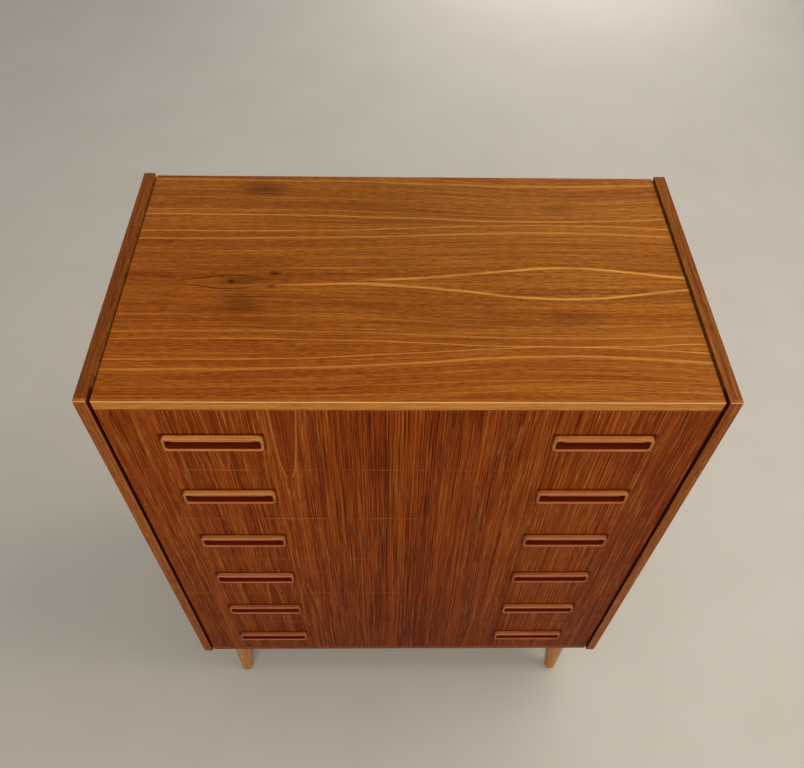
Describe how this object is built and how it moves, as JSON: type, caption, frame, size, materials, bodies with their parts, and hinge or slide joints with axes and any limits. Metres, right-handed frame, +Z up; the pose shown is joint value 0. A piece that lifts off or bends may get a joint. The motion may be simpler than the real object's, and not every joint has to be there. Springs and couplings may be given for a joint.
{
  "type": "tall chest of drawers",
  "caption": "Tall free-standing teak chest of drawers with flush sliding drawers, recessed rectangular ring pulls and round tapered legs.",
  "frame": {"origin": "middle of the whole chest in plan, pulls included, on the floor that the legs stand on", "axes": "+Z up, the drawers face -Y, +X to the right as seen from in front"},
  "size_m": [0.78, 0.429, 0.984],
  "materials": {
    "side_veneer": "satin",
    "top_veneer": "satin",
    "front_veneer": "satin",
    "bottom_veneer": "satin",
    "golden_teak": "satin",
    "solid_teak": "satin",
    "leg_teak": "satin",
    "drawer_wood": "matte",
    "beech": "matte",
    "plywood": "matte",
    "steel": "satin"
  },
  "bodies": {
    "case": {"side_panel_left": "side_veneer", "side_lipping_left": "solid_teak", "side_panel_right": "side_veneer", "side_lipping_right": "solid_teak", "top_panel": "top_veneer", "top_lipping": "golden_teak", "bottom_panel": "bottom_veneer", "bottom_lipping": "solid_teak", "back_panel": "plywood", "drawer_runners": "beech", "runner_screws": "steel", "back_panel_screws": "steel", "leg_front_left": "leg_teak", "leg_front_right": "leg_teak", "leg_back_left": "leg_teak", "leg_back_right": "leg_teak", "leg_bolts": "steel", "leg_tee_nuts": "steel"},
    "drawer_1": {"drawer_1_front": "front_veneer", "drawer_1_side_left": "drawer_wood", "drawer_1_side_right": "drawer_wood", "drawer_1_back": "drawer_wood", "drawer_1_bottom": "plywood", "drawer_1_handle_left": "golden_teak", "drawer_1_handle_right": "golden_teak"},
    "drawer_2": {"drawer_2_front": "front_veneer", "drawer_2_side_left": "drawer_wood", "drawer_2_side_right": "drawer_wood", "drawer_2_back": "drawer_wood", "drawer_2_bottom": "plywood", "drawer_2_handle_left": "golden_teak", "drawer_2_handle_right": "golden_teak"},
    "drawer_3": {"drawer_3_front": "front_veneer", "drawer_3_side_left": "drawer_wood", "drawer_3_side_right": "drawer_wood", "drawer_3_back": "drawer_wood", "drawer_3_bottom": "plywood", "drawer_3_handle_left": "golden_teak", "drawer_3_handle_right": "golden_teak"},
    "drawer_4": {"drawer_4_front": "front_veneer", "drawer_4_side_left": "drawer_wood", "drawer_4_side_right": "drawer_wood", "drawer_4_back": "drawer_wood", "drawer_4_bottom": "plywood", "drawer_4_handle_left": "golden_teak", "drawer_4_handle_right": "golden_teak"},
    "drawer_5": {"drawer_5_front": "front_veneer", "drawer_5_side_left": "drawer_wood", "drawer_5_side_right": "drawer_wood", "drawer_5_back": "drawer_wood", "drawer_5_bottom": "plywood", "drawer_5_handle_left": "golden_teak", "drawer_5_handle_right": "golden_teak"},
    "drawer_6": {"drawer_6_front": "front_veneer", "drawer_6_side_left": "drawer_wood", "drawer_6_side_right": "drawer_wood", "drawer_6_back": "drawer_wood", "drawer_6_bottom": "plywood", "drawer_6_handle_left": "golden_teak", "drawer_6_handle_right": "golden_teak"}
  },
  "joints": [
    {"name": "drawer_1_slide", "type": "slide", "parent": "case", "child": "drawer_1", "axis": [0, -1, 0], "range_m": [0, 0.28]},
    {"name": "drawer_2_slide", "type": "slide", "parent": "case", "child": "drawer_2", "axis": [0, -1, 0], "range_m": [0, 0.28]},
    {"name": "drawer_3_slide", "type": "slide", "parent": "case", "child": "drawer_3", "axis": [0, -1, 0], "range_m": [0, 0.28]},
    {"name": "drawer_4_slide", "type": "slide", "parent": "case", "child": "drawer_4", "axis": [0, -1, 0], "range_m": [0, 0.28]},
    {"name": "drawer_5_slide", "type": "slide", "parent": "case", "child": "drawer_5", "axis": [0, -1, 0], "range_m": [0, 0.28]},
    {"name": "drawer_6_slide", "type": "slide", "parent": "case", "child": "drawer_6", "axis": [0, -1, 0], "range_m": [0, 0.28]}
  ]
}
